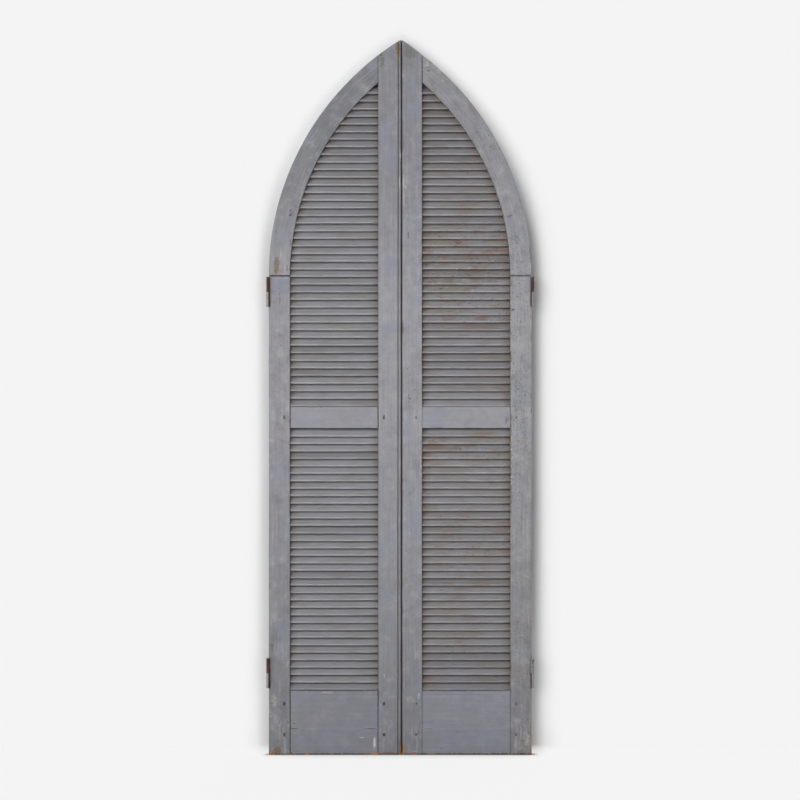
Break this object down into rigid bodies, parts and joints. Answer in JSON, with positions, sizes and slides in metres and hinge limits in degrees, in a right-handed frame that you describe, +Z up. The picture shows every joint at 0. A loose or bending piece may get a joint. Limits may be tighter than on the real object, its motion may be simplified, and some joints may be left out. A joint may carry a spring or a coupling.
{
  "type": "pair of arched louvered doors",
  "caption": "Pair of tall wooden doors under a pointed arch, with fixed louver slats above and below a mid rail, hung on lift-off hinges at the outer stiles.",
  "frame": {"origin": "middle of the pair at the bottom of the doors, midway between the hinge barrels' fronts and the doors' backs", "axes": "+Z up, -Y towards the viewer of the front, +X to the viewer's right"},
  "size_m": [0.9004, 0.0466, 2.405],
  "materials": {
    "stile_paint": "worn grey paint",
    "louver_paint": "worn grey paint",
    "arch_paint": "worn grey paint",
    "rail_paint": "worn grey paint",
    "peg_wood": "dark end grain",
    "leaf_iron": "rusted",
    "pin_steel": "worn",
    "screw_steel": "rusted"
  },
  "bodies": {
    "jamb_hinge_halves": {"left_upper_jamb_leaf": "leaf_iron", "left_lower_jamb_leaf": "leaf_iron", "right_upper_jamb_leaf": "leaf_iron", "right_lower_jamb_leaf": "leaf_iron", "left_upper_hinge_pin": "pin_steel", "left_lower_hinge_pin": "pin_steel", "right_upper_hinge_pin": "pin_steel", "right_lower_hinge_pin": "pin_steel"},
    "left_door": {"left_hinge_stile": "stile_paint", "left_louvered_stile": "louver_paint", "left_arch_head": "arch_paint", "left_mid_rail": "rail_paint", "left_bottom_rail": "rail_paint", "left_bottom_rail_peg_inner_lower": "peg_wood", "left_bottom_rail_peg_inner_upper": "peg_wood", "left_bottom_rail_peg_outer_lower": "peg_wood", "left_bottom_rail_peg_outer_upper": "peg_wood", "left_mid_rail_peg_inner": "peg_wood", "left_mid_rail_peg_outer": "peg_wood", "left_upper_hinge_leaf": "leaf_iron", "left_lower_hinge_leaf": "leaf_iron", "left_upper_hinge_screw_1": "screw_steel", "left_upper_hinge_screw_2": "screw_steel", "left_upper_hinge_screw_3": "screw_steel", "left_lower_hinge_screw_1": "screw_steel", "left_lower_hinge_screw_2": "screw_steel", "left_lower_hinge_screw_3": "screw_steel"},
    "right_door": {"right_hinge_stile": "stile_paint", "right_louvered_stile": "louver_paint", "right_arch_head": "arch_paint", "right_mid_rail": "rail_paint", "right_bottom_rail": "rail_paint", "right_bottom_rail_peg_inner_lower": "peg_wood", "right_bottom_rail_peg_inner_upper": "peg_wood", "right_bottom_rail_peg_outer_lower": "peg_wood", "right_bottom_rail_peg_outer_upper": "peg_wood", "right_mid_rail_peg_inner": "peg_wood", "right_mid_rail_peg_outer": "peg_wood", "right_upper_hinge_leaf": "leaf_iron", "right_lower_hinge_leaf": "leaf_iron", "right_upper_hinge_screw_1": "screw_steel", "right_upper_hinge_screw_2": "screw_steel", "right_upper_hinge_screw_3": "screw_steel", "right_lower_hinge_screw_1": "screw_steel", "right_lower_hinge_screw_2": "screw_steel", "right_lower_hinge_screw_3": "screw_steel"}
  },
  "joints": [
    {"name": "left_door_swing", "type": "hinge", "parent": "jamb_hinge_halves", "child": "left_door", "pos_m": [-0.4446, -0.01775, 0], "axis": [0, 0, -1], "range_deg": [0, 180]},
    {"name": "right_door_swing", "type": "hinge", "parent": "jamb_hinge_halves", "child": "right_door", "pos_m": [0.4446, -0.01775, 0], "axis": [0, 0, 1], "range_deg": [0, 180]}
  ]
}
